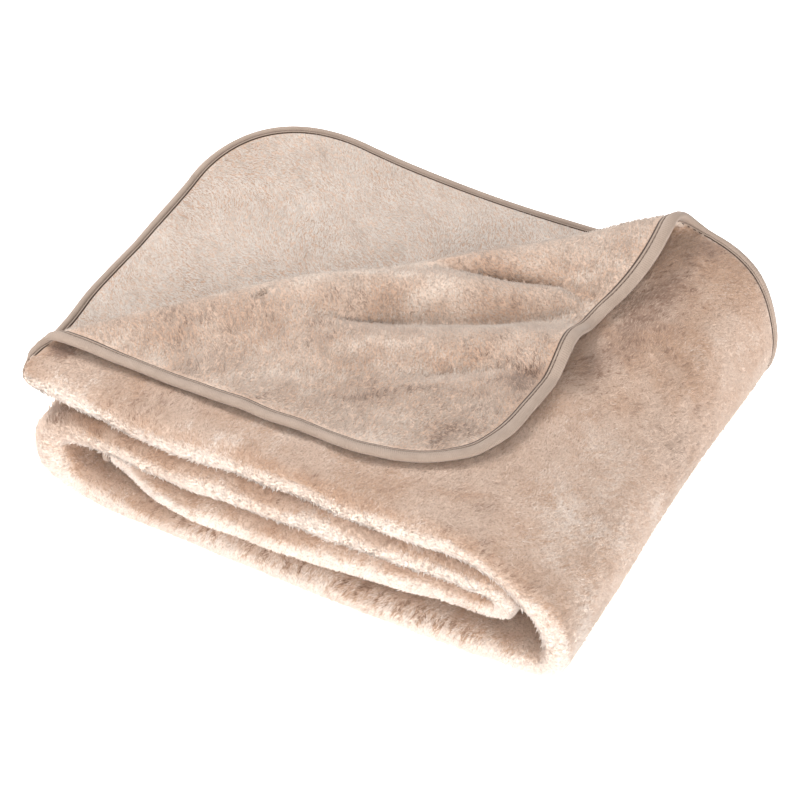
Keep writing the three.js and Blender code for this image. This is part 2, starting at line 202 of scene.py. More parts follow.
def acrossStrip(s, share):  # q forwards from the back line and n out from the strip's middle
    q, n = np.zeros_like(s), np.zeros_like(s)
    start = 0
    for i, level in enumerate(sheetLevels):
        toFront = i % 2 == 0
        rest = s - start
        here = (rest > 0) if i else np.ones_like(s, bool)
        q = np.where(here, rest if toFront else sheetDepth - rest, q)
        n = np.where(here, level, n)
        start += sheetDepth
        if i < 3:  # the fold into the next sheet
            radius = foldArcs[i] / math.pi
            angle = (s - start) / radius
            here = s > start
            bulge = share * radius * np.sin(angle)
            q = np.where(here, sheetDepth + bulge if toFront else -bulge, q)
            n = np.where(here, level + (sheetLevels[i + 1] - level) * (1 - np.cos(angle)) / 2, n)
            start += foldArcs[i]
    return q, n * share


def makeRoute():  # the strip's middle line, as close points with the way out of the roll at each
    xs, zs = [], []
    startX = roll["startX"]
    for turn in turns:
        side = np.sign(turn["tipX"] - turn["fromX"])
        xs.append(np.linspace(startX, turn["fromX"], roll["runPoints"]))
        zs.append(np.full(roll["runPoints"], turn["fromZ"], float))
        for runX, runZ, angles in (
            (turn["fromX"], turn["fromZ"], np.linspace(math.pi / 2, 0, roll["turnPoints"])),
            (turn["toX"], turn["toZ"], np.linspace(0, -math.pi / 2, roll["turnPoints"])),
        ):
            high = abs(runZ - turn["tipZ"])
            xs.append(runX + (turn["tipX"] - runX) * np.cos(angles))
            zs.append(turn["tipZ"] + side * high * np.sin(angles))
        startX = turn["toX"]
    xs.append(np.linspace(startX, roll["endX"], roll["runPoints"]))
    zs.append(np.linspace(third, third + roll["endRise"], roll["runPoints"]))
    x = np.concatenate([xs[0]] + [part[1:] for part in xs[1:]])
    z = np.concatenate([zs[0]] + [part[1:] for part in zs[1:]])
    at = np.concatenate([[0], np.cumsum(np.hypot(np.diff(x), np.diff(z)))])
    aheadX, aheadZ = np.gradient(x, at), np.gradient(z, at)
    size = np.hypot(aheadX, aheadZ)
    return {"at": at, "x": x, "z": z, "outX": -aheadZ / size, "outZ": aheadX / size}


route = makeRoute()
clothLength = route["at"][-1]


def alongRoute(u):
    inside = np.clip(u, 0, clothLength)
    beyond = u - inside
    keys = ("x", "z", "outX", "outZ")
    x, z, outX, outZ = (np.interp(inside, route["at"], route[key]) for key in keys)
    return x + outZ * beyond, z - outX * beyond, outX, outZ


clothLine = np.array([turned["onLongEdge"], turned["onShortEdge"]], float)
bundleLine = np.array(turned["right"], float) - turned["left"]
pull = np.linalg.norm(bundleLine) / np.linalg.norm(clothLine)
clothAlong = clothLine / np.linalg.norm(clothLine)
along = bundleLine / np.linalg.norm(bundleLine)
away = np.array([-along[1], along[0]])


def reliefOfCorner(w, q, past):  # rolls, creases and a faint unevenness of the turned cloth
    faint = ripple(turned["broad"], w, q) + ripple(turned["fine"], w, q)
    lift = faint * smooth(past, *turned["unevenFrom"])
    for crest in softRolls:
        off = np.clip((q - read(crest, w, "q")) / read(crest, w, "half"), -1, 1)
        lift = lift + np.maximum(0, read(crest, w, "height")) * (1 - off * off) ** 2
    for crease in softCreases:
        off = np.clip((q - read(crease, w, "q")) / crease["half"], -1, 1)
        lift = lift - np.maximum(0, read(crease, w, "depth")) * (1 - np.abs(off)) ** 2
    return lift


def noLower(height, least):  # eases a height off before it sinks into the sheet below
    easing = turned["easing"]
    return least + easing * np.logaddexp(0, (height - least) / easing)


def turnCorner(u, s, planX, planY):
    across = s - turned["onShortEdge"]
    w = (u * clothAlong[0] - across * clothAlong[1]) * pull  # along the turned line
    d = -(u * clothAlong[1] + across * clothAlong[0])  # past it, or before it where negative
    radius = read(ridge, w, "radius")
    angle = np.clip(d / radius, 0, math.pi)
    past = np.maximum(0, d - math.pi * radius)
    q = np.where(d < 0, d, radius * np.sin(angle) - turned["drawnOut"] * past)
    x = turned["left"][0] + along[0] * (w + turned["skew"] * past) + away[0] * q
    y = turned["left"][1] + along[1] * (w + turned["skew"] * past) + away[1] * q
    flat = np.where(d < 0, 1 - smooth(d, -turned["baseReach"], 0), 0)
    x, y = x + (planX - x) * flat, y + (planY - y) * flat
    x = x + read(drawnEdge, y, "by") * between(x, drawnEdge["x"])
    fromX, fromY = x - turned["left"][0], y - turned["left"][1]
    placeW = fromX * along[0] + fromY * along[1]
    placeQ = fromX * away[0] + fromY * away[1]
    raised = read(ridge, placeW, "rise") * smooth(placeQ, -turned["baseRise"], 0)
    settled = smooth(past, 0, read(ridge, w, "rest"))
    clear = 2 * radius + (pitch - 2 * radius) * settled + reliefOfCorner(placeW, -q, past)
    over = noLower(clear, cloth["core"] + turned["gap"]) - 2 * radius
    return x, y, raised + radius * (1 - np.cos(angle)) + np.where(past > 0, over, 0)


def settle(x, y, z):
    share = np.ones_like(x)
    for spotX, spotY, wide, deep, amount in uneven:
        share = share + amount * np.exp(-(((x - spotX) / wide) ** 2) - ((y - spotY) / deep) ** 2)
    z = bundle["lowest"] + (z - bundle["lowest"]) * share
    x = x - narrowed["by"] * smooth(x, *narrowed["x"]) * smooth(y, *narrowed["y"])
    atEnd = smooth(-x, *bowed["x"]) * smooth(z, *bowed["z"])
    z = z + bowed["raised"] * atEnd * smooth(y, *bowed["raisedFrom"])
    atTurn = smooth(-x, *fuller["x"]) * between(z, fuller["z"])
    x = x - read(bowed, y, "by") * atEnd - fuller["by"] * atTurn
    fine = ripple(ripples["topFine"], x + 2 * z, y) * smooth(-y, *ripples["nearFront"])
    z = z + smooth(z, *ripples["offFloor"]) * (ripple(ripples["top"], x, y) + fine)
    forward = ripple(ripples["front"], x, z) + ripple(ripples["frontFine"], x, z)
    y = y - smooth(-y, *ripples["atFront"]) * forward
    return np.stack([x - bundle["middle"][0], y - bundle["middle"][1], z], -1)


def lay(u, s):  # the middle of the cloth at u along and s across it, in millimetres in the frame
    q, n = acrossStrip(s, closeness(u))
    nearEnd = 1 - smooth(u, 0, shift["gone"])
    nearBack = 1 - smooth(q, 0, sheetDepth)
    drawnFrom = sheetDepth + foldArcs[0] * shift["drawnFrom"]
    innerStart, thirdStart = sheetDepth + foldArcs[0], 2 * sheetDepth + foldArcs[0] + foldArcs[1]
    below = between(s, (drawnFrom, innerStart, thirdStart, shift["drawnGone"]))
    tucked = np.where(n < 0, shift["tuck"] * nearEnd * (1 - smooth(q, 0, sheetDepth / 3)), 0)
    endFront = smooth(q, sheetDepth - looseEnd["deep"], sheetDepth + sheetLevels[0])
    atEnd = (1 - smooth(u, 0, looseEnd["reach"])) * endFront
    tailFront = smooth(q, sheetDepth - tail["deep"], sheetDepth)
    atTail = smooth(u, clothLength - tail["reach"], clothLength) * tailFront
    drawn = (shift["drawnIn"] + shift["drawnBack"] * nearBack) * below * nearEnd
    inwards = drawn + looseEnd["inwards"] * atEnd
    y = bundle["backY"] - q - read(stand, u, "forward") * smooth(q, 0, sheetDepth) - tucked
    y = y + looseEnd["back"] * atEnd + tail["back"] * atTail
    pushed = shift["outerBack"] * (1 - s / sheetDepth) * (1 - smooth(u, *shift["outerGone"]))
    isTop = (s < sheetDepth) & (u < shift["outerGone"][1])
    topX, topY, lift = turnCorner(u, s, roll["startX"] + u + pushed + inwards, y)
    placeU = np.where(isTop, topX - roll["startX"], u + inwards)
    x, z, outX, outZ = alongRoute(placeU)
    off = np.maximum(0, read(slack, placeU, "height")) * smooth(topY, *slack["y"])
    rise = np.where(isTop, sheetLevels[0] * closeness(placeU) + lift + off, n)
    return settle(x + outX * rise, np.where(isTop, topY, y), z + outZ * rise)


def unit(vectors):
    return vectors / np.linalg.norm(vectors, axis=-1, keepdims=True)


def facing(u, s):  # the way out of the cloth's outer side
    step = 0.5
    du = lay(u + step, s) - lay(u - step, s)
    ds = lay(u, s + step) - lay(u, s - step)
    return unit(np.cross(ds, du))


def makeMesh(name, points, faces, normals=None, values=None):
    mesh = bpy.data.meshes.new(name)
    count, corners = faces.shape
    mesh.vertices.add(len(points))
    mesh.vertices.foreach_set("co", (points * mm).astype(np.float32).ravel())
    mesh.loops.add(count * corners)
    mesh.loops.foreach_set("vertex_index", faces.astype(np.int32).ravel())
    mesh.polygons.add(count)
    mesh.polygons.foreach_set("loop_start", np.arange(count, dtype=np.int32) * corners)
    mesh.update(calc_edges=True)
    mesh.polygons.foreach_set("use_smooth", np.ones(count, bool))
    for key, value in (values or {}).items():
        data = mesh.attributes.new(key, "FLOAT", "POINT").data
        data.foreach_set("value", value.astype(np.float32))
    if normals is not None:
        mesh.normals_split_custom_set_from_vertices(normals.astype(np.float32))
    piece = bpy.data.objects.new(name, mesh)
    bpy.context.scene.collection.objects.link(piece)
    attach(piece, "root")
    return piece


# The sheet: rows along the cloth and columns across it, closer together where it shows.
sheetGrid = {
    "cornerRows": 14, "openRows": 4.8, "openTo": 620, "hiddenRows": 10,
    "outer": 4.8, "frontFold": 2.2, "hidden": 20, "smallFold": 2.2, "panel": 7,
}


def cornerCut(u):  # how far the rounded corners cut into the width at u
    radius = cloth["cornerRadius"]
    inset = radius - np.clip(np.minimum(u, clothLength - u), 0, radius)
    return radius - np.sqrt(radius**2 - inset**2)


def sheetPlaces():
    radius, openTo = cloth["cornerRadius"], sheetGrid["openTo"]
    angles = np.linspace(0, math.pi / 2, sheetGrid["cornerRows"], endpoint=False)
    insets = radius * (1 - np.cos(angles))
    openCount = round((openTo - radius) / sheetGrid["openRows"])
    hiddenCount = round((clothLength - radius - openTo) / sheetGrid["hiddenRows"])
    u = np.concatenate([
        insets,
        np.linspace(radius, openTo, openCount, endpoint=False),
        np.linspace(openTo, clothLength - radius, hiddenCount),
        (clothLength - insets)[::-1],
    ])
    steps = ("outer", "frontFold", "hidden", "smallFold", "hidden", "smallFold", "panel")
    spans = [sheetDepth, foldArcs[0], sheetDepth, foldArcs[1], sheetDepth, foldArcs[2], sheetDepth]
    cut = cornerCut(u)[:, None]
    columns, start = [], 0
    for k, (step, span) in enumerate(zip(steps, spans)):
        share = np.linspace(0, 1, round(span / sheetGrid[step]), endpoint=False)[None, :]
        low = start + (cut if k == 0 else 0)
        high = start + span - (cut if k == len(spans) - 1 else 0)
        columns.append(low + (high - low) * share)
        start += span
    columns.append(cloth["width"] - cut)
    rows = [np.broadcast_to(part, (len(u), part.shape[1])) for part in columns]
    s = np.concatenate(rows, axis=1)
    return np.broadcast_to(u[:, None], s.shape), s


def makeSheet():
    u, s = sheetPlaces()
    rows, columns = s.shape
    middle, out = lay(u, s), facing(u, s)
    half = out * cloth["core"] / 2
    points = np.concatenate([(middle + half).reshape(-1, 3), (middle - half).reshape(-1, 3)])
    points[:, 2] = np.maximum(points[:, 2], cloth["aboveFloor"])
    index = np.arange(rows * columns).reshape(rows, columns)
    under = index + rows * columns
    corners = [index[:-1, :-1], index[:-1, 1:], index[1:, 1:], index[1:, :-1]]
    quads = np.stack(corners, -1).reshape(-1, 4)
    walls = [
        (index[0, :-1], under[0, :-1], under[0, 1:], index[0, 1:]),
        (index[-1, 1:], under[-1, 1:], under[-1, :-1], index[-1, :-1]),
        (index[1:, 0], under[1:, 0], under[:-1, 0], index[:-1, 0]),
        (index[:-1, -1], under[:-1, -1], under[1:, -1], index[1:, -1]),
    ]
    walls = [np.stack(wall, -1) for wall in walls]
    faces = np.concatenate([quads, quads[:, ::-1] + rows * columns] + walls)
    piece = makeMesh("throw_blanket", points, faces)
    return piece, {"u": u, "s": s, "middle": middle, "out": out, "points": points, "faces": faces}


blanket, sheet = makeSheet()
print("sheet:", len(sheet["faces"]), "faces,", round(clothLength), "mm long")

# The directions it is looked at from, and the least that a cell must face the camera or them.
looks = {
    "around": range(0, 360, 45), "high": (6, 38), "above": (0, 88), "eye": 0.02, "other": 0.08,
    "off": 0.5, "far": 1.0,  # each look starts this many millimetres off, and ends a metre away
}


def exposure():  # for each cell 2 where the photograph's camera sees it, 1 from another side
    tree = BVHTree.FromPolygons((sheet["points"] * mm).tolist(), sheet["faces"].tolist())
    views = [(azimuth, elevation) for elevation in looks["high"] for azimuth in looks["around"]]
    ways = [wayTo(*view) for view in views + [looks["above"]]]
    eye = np.array(cameraPlace()[0])
    result = []
    for side in (1, -1):
        surface = sheet["middle"] + side * sheet["out"] * cloth["core"] / 2
        centre = (surface[:-1, :-1] + surface[1:, :-1] + surface[:-1, 1:] + surface[1:, 1:]) / 4
        normal = side * (sheet["out"][:-1, :-1] + sheet["out"][1:, 1:]) / 2
        start = (centre + normal * looks["off"]) * mm
        toEye = unit(eye - start)
        shown = np.zeros(centre.shape[:2], bool)
        for i, j in np.argwhere((normal * toEye).sum(-1) > looks["eye"]):
            hit = tree.ray_cast(Vector(start[i, j]), Vector(toEye[i, j]), looks["far"])[0]
            shown[i, j] = hit is None
        near = shown.copy()  # and their neighbours, so that the pile ends inside the crevices
        near[1:] |= shown[:-1]
        near[:-1] |= shown[1:]
        near[:, 1:] |= shown[:, :-1]
        near[:, :-1] |= shown[:, 1:]
        free = near.copy()
        for way in ways:
            for i, j in np.argwhere((normal @ np.array(way) > looks["other"]) & ~free):
                if tree.ray_cast(Vector(start[i, j]), Vector(way), looks["far"])[0] is None:
                    free[i, j] = True
        result.append(near.astype(int) + free)
    return result


outerShown, innerShown = exposure()
for title, cells in (("outer", outerShown), ("inner", innerShown)):
    toCamera, inAll = int((cells == 2).sum()), int((cells > 0).sum())
    print(title, "side:", toCamera, "cells to the camera,", inAll, "in all")

# The tape that is sewn over the edge. The fleece rolls over it at the left end of the front fold.
tape = {
    "step": 4.2, "cornerPoints": 49, "outer": 4.8, "wave": (0.3, 45, 41), "ribsPerMm": 0.8,
    "rolledAcross": (307, 316, 332, 346), "rolledAlong": (4, 12), "rolledBy": 0.7,
    "aboveFloor": 0.1,
}
tapeSection = [  # reach out from the cloth's edge, rise from its middle, and how much of the groove's dark colour it takes: painted shade in the groove and the dark seam line
    (-2.8, 1.1, 1), (-2.5, 1.7, 1), (-1.8, 1.7, 1), (-1.7, 2.1, 0), (-1.0, 2.3, 0),
    (-0.8, 1.85, 0.45), (-0.4, 1.85, 0.45), (-0.2, 2.4, 0), (0.8, 2.9, 0), (2.0, 3.0, 0),
    (3.3, 2.6, 0), (4.3, 1.8, 0), (4.8, 0.8, 0),
]


def tapeShare(u, s):  # how much of the tape's width shows
    rolledIn = between(s, tape["rolledAcross"]) * (1 - smooth(u, *tape["rolledAlong"]))
    return 1 - tape["rolledBy"] * rolledIn


# The pile: closed tufts of four faces that lean along the nap.
pile = {
    "front": {"perSquare": 0.8, "length": 2.5, "width": 0.8},
    "elsewhere": {"perSquare": 0.12, "length": 4.2, "width": 1.7},
    "least": 0.75, "varied": 0.5, "rooted": 0.4, "thick": 0.8,
    "roundAside": 0.22, "roundAhead": 0.15,
    "lean": 27, "leanSpread": 8, "patch": (1.0, 48, 21), "clump": (0.6, 4.5, 22), "spread": 0.3,
    "fromEdge": 3.2, "shortTo": 2.75, "shortBy": 1.15, "aboveFloor": 0.1,
    "rolled": 0.2, "rolledOver": 1.8, "rolledLonger": 1.4, "most": 49000, "seed": 31,
}
naps = {  # the side of the cloth, which way it is brushed, and how unevenly it lies
    "pile_turned_corner": (-1, 0.4, 0.9),
    "pile_back_panel": (-1, 2.6, 0.45),
    "pile_outer_sheet": (1, 0.9, 0.45),
    "pile_front_folds": (1, 1.2, 0.8),
    "pile_inner_folds": (1, 1.0, 0.8),
    "pile_inner_sides": (-1, 1.0, 0.8),
}
# How pale or dark the pile shows, -1 dark and 1 on its pale tips: random patches of the nap, with painted
# light and shade.
napAndLight = {
    # rim: a painted highlight where the surface faces down and towards the front
    "rimWay": (0.319, -0.607, -0.727), "rimFacing": (-0.15, 0.5), "rimFront": (0.1, 0.5),
    # ridge: a painted highlight on the turned corner's slopes that face back
    "rimEven": 0.95, "rimPatch": 0.45, "ridgePale": 0.5, "ridgeFacing": (0.25, 0.7),
    "broad": (0.75, 36, 51), "small": (0.5, 12, 52), "drawnLong": 0.45,
    "single": 0.2, "ground": 0.6, "foldEdge": 6,
    "cornerSpots": (  # u, s, size and amount on the turned corner: painted shade where negative, painted highlight where positive
        (110, 12, 15, -0.9), (88, 28, 13, -0.6), (48, 34, 15, -0.6), (100, 130, 13, -0.5),
        (50, 85, 15, -0.6), (140, 40, 12, 0.5), (30, 60, 14, 0.4), (40, 195, 30, 0.25),
        (74, 26, 26, -0.35),
    ),
    # u, s, size and amount on the outer side: painted shade where negative, painted highlight where
    # positive
    "outerSpots": (
        (390, 235, 60, 0.5), (14, 298, 9, -1.5), (90, 308, 40, -0.35), (424, 300, 16, 0.5),
        (455, 318, 26, 0.5), (840, 325, 40, -0.5),
    ),
}
besideFlap = {"at": 314, "over": 20, "to": (90, 290), "amount": -0.8}  # a painted shadow of the turned corner, on the outer sheet beside its edge
stroke = {  # short darker and paler strokes along the nap
    "long": 5.0, "wide": 1.5, "dark": 0.55, "pale": 0.08, "range": (0.1, 0.5), "seed": 61,
}
parted = {  # the longer pile of the bottom run, which falls apart
    "u": (430, 520, 690, 760), "at": 338, "over": 8, "long": 7.0, "wide": 1.7,
    "dark": 1.7, "pale": 0.5, "range": (0, 0.4), "seed": 62, "even": 0.6, "longer": 0.4,
}


def insideEdge(u, s):  # how far a place on the cloth lies from its edge
    radius = cloth["cornerRadius"]
    a = np.abs(u - clothLength / 2) - (clothLength / 2 - radius)
    b = np.abs(s - cloth["width"] / 2) - (cloth["width"] / 2 - radius)
    return radius - np.hypot(np.maximum(a, 0), np.maximum(b, 0)) - np.minimum(np.maximum(a, b), 0)


def placeTufts(cells, side, draw):  # roots, the ways out of and along the cloth, u, s, and isFront
    surface = sheet["middle"] + side * sheet["out"] * cloth["core"] / 2
    i, j = np.nonzero(cells)
    around = ((i, j), (i + 1, j), (i, j + 1), (i + 1, j + 1))
    corners, outs = [surface[k] for k in around], [side * sheet["out"][k] for k in around]
    area = np.linalg.norm(np.cross(corners[3] - corners[0], corners[2] - corners[1]), axis=-1) / 2
    isFront = cells[i, j] == 2
    density = np.where(isFront, pile["front"]["perSquare"], pile["elsewhere"]["perSquare"])
    count = np.floor(area * density + draw.random(len(area))).astype(int)
    pick = np.repeat(np.arange(len(i)), count)
    a, b = draw.random(len(pick))[:, None], draw.random(len(pick))[:, None]
    shares = ((1 - a) * (1 - b), a * (1 - b), (1 - a) * b, a * b)
    root, out = (
        sum(share * part[pick] for share, part in zip(shares, parts)) for parts in (corners, outs)
    )
    u, s = (
        sum(share[:, 0] * sheet[key][k][pick] for share, k in zip(shares, around))
        for key in ("u", "s")
    )
    ahead = (corners[1] + corners[3] - corners[0] - corners[2])[pick]
    over = pile["rolledOver"]
    keep = insideEdge(u, s) > pile["fromEdge"] * (over * tapeShare(u, s) - (over - 1))
    return [part[keep] for part in (root, out, ahead, u, s, isFront[pick])]


def spotsAt(spots, u, s):
    total = 0
    for spotU, spotS, size, amount in spots:
        total = total + amount * np.exp(-(((u - spotU) / size) ** 2) - ((s - spotS) / size) ** 2)
    return total


# How pale or dark the pile shows at each place: random patches, painted highlights, painted shade and a
# painted shadow.
def napAndLightOfPile(out, u, s, side, unevenness):
    if side > 0:
        patch = ripple(napAndLight["broad"], u, s) + ripple(napAndLight["small"], u, s)
        # a painted highlight on the pale tips where the surface faces down and towards the front
        rim = smooth(out @ np.array(napAndLight["rimWay"]), *napAndLight["rimFacing"])
        rim = rim * smooth(-out[..., 1], *napAndLight["rimFront"])
        # a painted shadow of the turned corner beside its edge
        flat = besideFlap["amount"] * np.exp(-(((u - besideFlap["at"]) / besideFlap["over"]) ** 2))
        flat = flat * (1 - smooth(s, *besideFlap["to"]))
        patch = rim * (napAndLight["rimEven"] + napAndLight["rimPatch"] * patch) + (1 - rim) * unevenness * patch
        # with spots of painted shade and highlight
        return patch + flat + spotsAt(napAndLight["outerSpots"], u, s)
    ahead = napAndLight["drawnLong"] * (u * clothAlong[0] - s * clothAlong[1])
    aside = u * clothAlong[1] + s * clothAlong[0]
    patch = ripple(napAndLight["broad"], 2 * ahead, 2 * aside) + ripple(napAndLight["small"], 2 * ahead, 2 * aside)
    # spots of painted shade and highlight
    patch = patch + spotsAt(napAndLight["cornerSpots"], u, s)
    # a painted highlight on the slopes that face back
    towardsBack = out[..., 0] * away[0] + out[..., 1] * away[1]
    pale = napAndLight["ridgePale"] * smooth(towardsBack, *napAndLight["ridgeFacing"])
    return pale + (1 - pale) * unevenness * patch


def partedShare(u, s, side):
    across = np.exp(-(((s - parted["at"]) / parted["over"]) ** 2))
    return (side > 0) * between(u, parted["u"]) * across


def strokes(u, s, side, way):
    ahead = u * math.cos(way) - side * s * math.sin(way)
    aside = u * math.sin(way) + side * s * math.cos(way)
    tones = []
    for plan in (stroke, parted):
        streak = softNoise(ahead * plan["wide"] / plan["long"], aside, plan["wide"], plan["seed"])
        tones.append(plan["pale"] - plan["dark"] * smooth(streak, *plan["range"]))
    share = partedShare(u, s, side)
    return (1 - share) * tones[0] + share * tones[1]


def growPile(name, cells, side, way, unevenness):
    draw = np.random.default_rng(pile["seed"] + len(name))
    root, out, ahead, u, s, isFront = placeTufts(cells, side, draw)
    out = unit(out)
    ahead = unit(ahead - out * (ahead * out).sum(-1, keepdims=True))
    turn = way + ripple(pile["patch"], u, s) + ripple(pile["clump"], u, s)
    turn = (turn + pile["spread"] * draw.normal(size=len(u)))[:, None]
    nap = np.cos(turn) * ahead + np.sin(turn) * np.cross(out, ahead)
    lean = np.radians(pile["lean"] + pile["leanSpread"] * draw.normal(size=len(u)))[:, None]

    def drawSize(key):
        whole = np.where(isFront, pile["front"][key], pile["elsewhere"][key])[:, None]
        return whole * (pile["least"] + pile["varied"] * draw.random((len(u), 1)))

    size, wide = drawSize("length"), drawSize("width")
    rolledIn = 1 - tapeShare(u, s)[:, None] > pile["rolled"]
    room = pile["shortBy"] * (insideEdge(u, s)[:, None] - pile["shortTo"])
    size = np.where(rolledIn, pile["rolledLonger"] * size, np.minimum(size, room))
    fallsApart = partedShare(u, s, side)
    size = size * (1 + parted["longer"] * fallsApart[:, None])
    beside = np.cross(out, nap)
    foot = root - pile["rooted"] * out
    back = foot + pile["thick"] * wide * out
    tip = root + size * (np.cos(lean) * nap + np.sin(lean) * out)
    points = np.stack([foot - beside * wide / 2, foot + beside * wide / 2, back, tip], 1)
    points[..., 2] = np.maximum(points[..., 2], pile["aboveFloor"])
    aside, forward = pile["roundAside"] * beside, pile["roundAhead"] * nap
    normals = unit(np.stack([out - aside, out + aside, out, out + forward], 1))
    shade = napAndLightOfPile(out, u, s, side, unevenness) * (1 - parted["even"] * fallsApart)
    shade = shade + strokes(u, s, side, way) + napAndLight["single"] * draw.normal(size=len(u))
    pieces = []
    parts = max(1, math.ceil(len(u) / pile["most"]))
    order = np.argsort(u, kind="stable")
    for k, chosen in enumerate(np.array_split(order, parts)):
        base = 4 * np.arange(len(chosen))[:, None, None]
        faces = (base + np.array([[0, 1, 3], [1, 2, 3], [2, 0, 3], [0, 2, 1]])).reshape(-1, 3)
        values = {
            "tip": np.tile([0.0, 0.0, 0.15, 1.0], len(chosen)),  # how far up the tuft
            "napAndLight": np.repeat(shade[chosen], 4),
        }
        title = name if parts == 1 else f"{name}_{k + 1}"
        ends, ways = points[chosen].reshape(-1, 3), normals[chosen].reshape(-1, 3)
        pieces.append(makeMesh(title, ends, faces, ways, values))
        print(title, len(chosen), "tufts")
    return pieces


def pileRegions():  # the cells of the sheet that each piece of pile grows on
    s = sheet["s"][:-1, :-1]
    outerEnd = sheetDepth - napAndLight["foldEdge"]
    isOuter = s < outerEnd
    isFront = (s >= outerEnd) & (s < sheetDepth + foldArcs[0] + napAndLight["foldEdge"])
    isPanel = s > cloth["width"] - sheetDepth
    return {
        "pile_turned_corner": innerShown * isOuter,
        "pile_back_panel": innerShown * isPanel,
        "pile_outer_sheet": outerShown * isOuter,
        "pile_front_folds": outerShown * isFront,
        "pile_inner_folds": outerShown * ~(isOuter | isFront),
        "pile_inner_sides": innerShown * ~(isOuter | isPanel),
    }


pilePieces = {name: growPile(name, cells, *naps[name]) for name, cells in pileRegions().items()}
# The same values on the cloth under the pile, painted highlights and shade included.
napAndLightOfSheet = [
    napAndLightOfPile(side * sheet["out"], sheet["u"], sheet["s"], side, napAndLight["ground"]).ravel()
    for side in (1, -1)
]
napAndLightData = blanket.data.attributes.new("napAndLight", "FLOAT", "POINT").data
napAndLightData.foreach_set("value", np.concatenate(napAndLightOfSheet).astype(np.float32))


def edgePlaces():  # evenly spaced places round the cloth's edge, and the way out of it at each
    radius, width = cloth["cornerRadius"], cloth["width"]
    quarter = np.linspace(0, math.pi / 2, tape["cornerPoints"])
    corners = [
        (radius, width - radius, math.pi / 2),
        (clothLength - radius, width - radius, 0),
        (clothLength - radius, radius, -math.pi / 2),
        (radius, radius, math.pi),
    ]
    u, s = [], []
    for centreU, centreS, end in corners:
        angle = end + math.pi / 2 - quarter
        u.append(centreU + radius * np.cos(angle))
        s.append(centreS + radius * np.sin(angle))
    u, s = np.concatenate(u + [u[0][:1]]), np.concatenate(s + [s[0][:1]])
    at = np.concatenate([[0], np.cumsum(np.hypot(np.diff(u), np.diff(s)))])
    count = round(at[-1] / tape["step"])
    places = np.arange(count) * at[-1] / count
    u, s = np.interp(places, at, u), np.interp(places, at, s)
    outU = (u - np.clip(u, radius, clothLength - radius)) / radius
    outS = (s - np.clip(s, radius, width - radius)) / radius
    size = np.hypot(outU, outS)
    return places, u, s, outU / size, outS / size


def makeTape():
    places, u, s, outU, outS = edgePlaces()
    section = tapeSection + [(reach, -rise, deep) for reach, rise, deep in tapeSection[::-1]]
    section = np.array(section)
    face = facing(u, s)
    wave = ripple(tape["wave"], places, 0 * places)
    share = tapeShare(u, s)
    rows = []
    for reach, rise, _ in section:
        out = reach + wave * max(0, reach) / tape["outer"]
        out = np.where(reach > 0, out * share, out)
        high = rise * (1 + share) / 2
        rows.append(lay(u + outU * out, s + outS * out) + face * high[:, None])
    points = np.stack(rows, 1).reshape(-1, 3)
    points[:, 2] = np.maximum(points[:, 2], tape["aboveFloor"])
    count, sides = len(places), len(section)
    index = np.arange(count * sides).reshape(count, sides)
    ahead, up = np.roll(index, -1, 0), np.roll(index, -1, 1)
    faces = np.stack([index, ahead, np.roll(ahead, -1, 1), up], -1).reshape(-1, 4)
    values = {
        # the share of the groove's dark colour: painted shade in the groove and the dark seam line
        "groove": np.tile(section[:, 2], count),
        "ribs": np.repeat(places * tape["ribsPerMm"], sides),
    }
    return makeMesh("edge_tape", points, faces, values=values)


edgeTape = makeTape()
print("tape:", len(edgeTape.data.polygons), "faces")

stitch = {"pitch": 3.6, "long": 2.7, "wide": 0.6, "reach": -0.6, "rise": 1.85}


def makeStitches():  # on both sides of the tape, each a spindle of eight faces
    places, u, s, outU, outS = edgePlaces()
    count = round(places[-1] / stitch["pitch"])
    at = (np.arange(count) + 0.5) * places[-1] / count
    u, s, outU, outS = (np.interp(at, places, part) for part in (u, s, outU, outS))
    centre = lay(u + outU * stitch["reach"], s + outS * stitch["reach"])
    face = facing(u, s)
    out = unit(lay(u + outU, s + outS) - lay(u, s))
    half, wide = np.cross(face, out) * stitch["long"] / 2, stitch["wide"] / 2
    arms = (-half, half, -out * wide, out * wide, -face * wide, face * wide)
    points = []
    for side in (1, -1):
        spot = centre + side * face * stitch["rise"]
        points.append(np.stack([spot + arm for arm in arms], 1))
    points = np.concatenate(points).reshape(-1, 3)
    points[:, 2] = np.maximum(points[:, 2], tape["aboveFloor"])
    base = 6 * np.arange(2 * count)[:, None, None]
    spindle = np.array([
        [0, 2, 5], [0, 5, 3], [0, 3, 4], [0, 4, 2], [1, 5, 2], [1, 3, 5], [1, 4, 3], [1, 2, 4],
    ])
    return makeMesh("edge_stitches", points, (base + spindle).reshape(-1, 3))


stitches = makeStitches()
print("stitches:", len(stitches.data.polygons), "faces")


# Materials
def toLinear(*colour):
    linear = [c / 255 / 12.92 if c <= 10.3 else ((c / 255 + 0.055) / 1.055) ** 2.4 for c in colour]
    return (*linear, 1.0)


def put(tree, value, socket):  # links a node's output to a socket, or sets a fixed value on it
    if isinstance(value, bpy.types.NodeSocket):
        tree.links.new(value, socket)
    else:
        socket.default_value = value


def attributeNode(tree, name):
    node = tree.nodes.new("ShaderNodeAttribute")
    node.attribute_name = name
    return node.outputs["Fac"]


